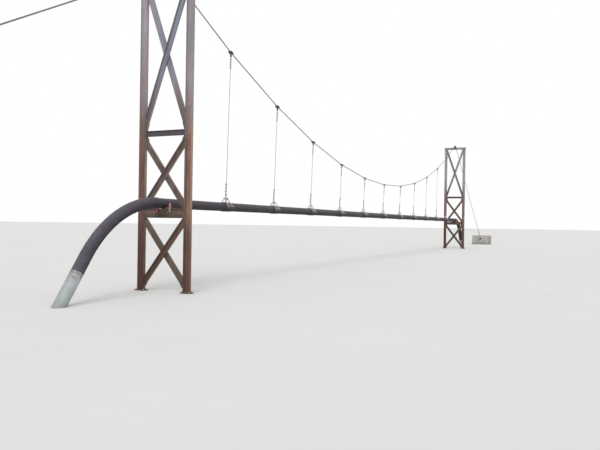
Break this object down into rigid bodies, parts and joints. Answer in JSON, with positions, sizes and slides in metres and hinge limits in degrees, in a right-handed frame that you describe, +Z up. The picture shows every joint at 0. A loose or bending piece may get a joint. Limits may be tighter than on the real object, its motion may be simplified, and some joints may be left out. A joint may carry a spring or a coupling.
{
  "type": "suspension pipe bridge, 1:10 scale model",
  "caption": "Pipe bridge hung by wire ropes from one sagging cable between braced steel towers, with backstays to concrete anchors and pipe bends down to the ground.",
  "frame": {"origin": "on the ground under the middle of the span, midway between the towers", "axes": "+X along the pipe to the far end, +Y across the bridge, +Z up"},
  "size_m": [8.6384, 0.22, 1.0364],
  "materials": {
    "pipe_brown": "dark brown-grey coating, dull, with rusty mottling",
    "riser_coating": "light bluish grey wrap, matte",
    "lining_red": "dark red rubber sheet",
    "galvanised": "weathered hot-dip zinc, dull",
    "hanger_rope": "galvanised wire rope",
    "cable_rope": "dark weathered wire rope",
    "dark_iron": "dark weathered casting",
    "rusty_steel": "worn red-brown paint over rust",
    "orange_rust": "bright orange rust",
    "concrete": "cast concrete, rough and weathered"
  },
  "bodies": {
    "root": {"anchor_lugs": "rusty_steel", "clamp_linings": "lining_red", "far_anchor_block": "concrete", "far_backstay": "cable_rope", "far_base_plates": "rusty_steel", "far_cable_saddle": "dark_iron", "far_cap_beam": "rusty_steel", "far_falling_braces": "rusty_steel", "far_gussets": "rusty_steel", "far_leg_back": "rusty_steel", "far_leg_front": "rusty_steel", "far_middle_strut": "rusty_steel", "far_pipe_beam": "rusty_steel", "far_pipe_bend": "pipe_brown", "far_pipe_riser": "riser_coating", "far_rising_braces": "rusty_steel", "guide_posts": "orange_rust", "hanger_pins": "galvanised", "hangers": "hanger_rope", "leg_caps": "rusty_steel", "lower_cable_bands": "dark_iron", "lower_pipe_clamps": "pipe_brown", "main_cable": "cable_rope", "near_anchor_block": "concrete", "near_backstay": "cable_rope", "near_base_plates": "rusty_steel", "near_cable_saddle": "dark_iron", "near_cap_beam": "rusty_steel", "near_falling_braces": "rusty_steel", "near_gussets": "rusty_steel", "near_leg_back": "rusty_steel", "near_leg_front": "rusty_steel", "near_middle_strut": "rusty_steel", "near_pipe_beam": "rusty_steel", "near_pipe_bend": "pipe_brown", "near_pipe_riser": "riser_coating", "near_rising_braces": "rusty_steel", "pipe_cradles": "rusty_steel", "pipe_span": "pipe_brown", "turnbuckle_frames": "galvanised", "turnbuckle_screws": "galvanised", "upper_cable_bands": "dark_iron", "upper_pipe_clamps": "pipe_brown", "yoke_pins": "galvanised", "yokes": "galvanised"}
  },
  "joints": []
}
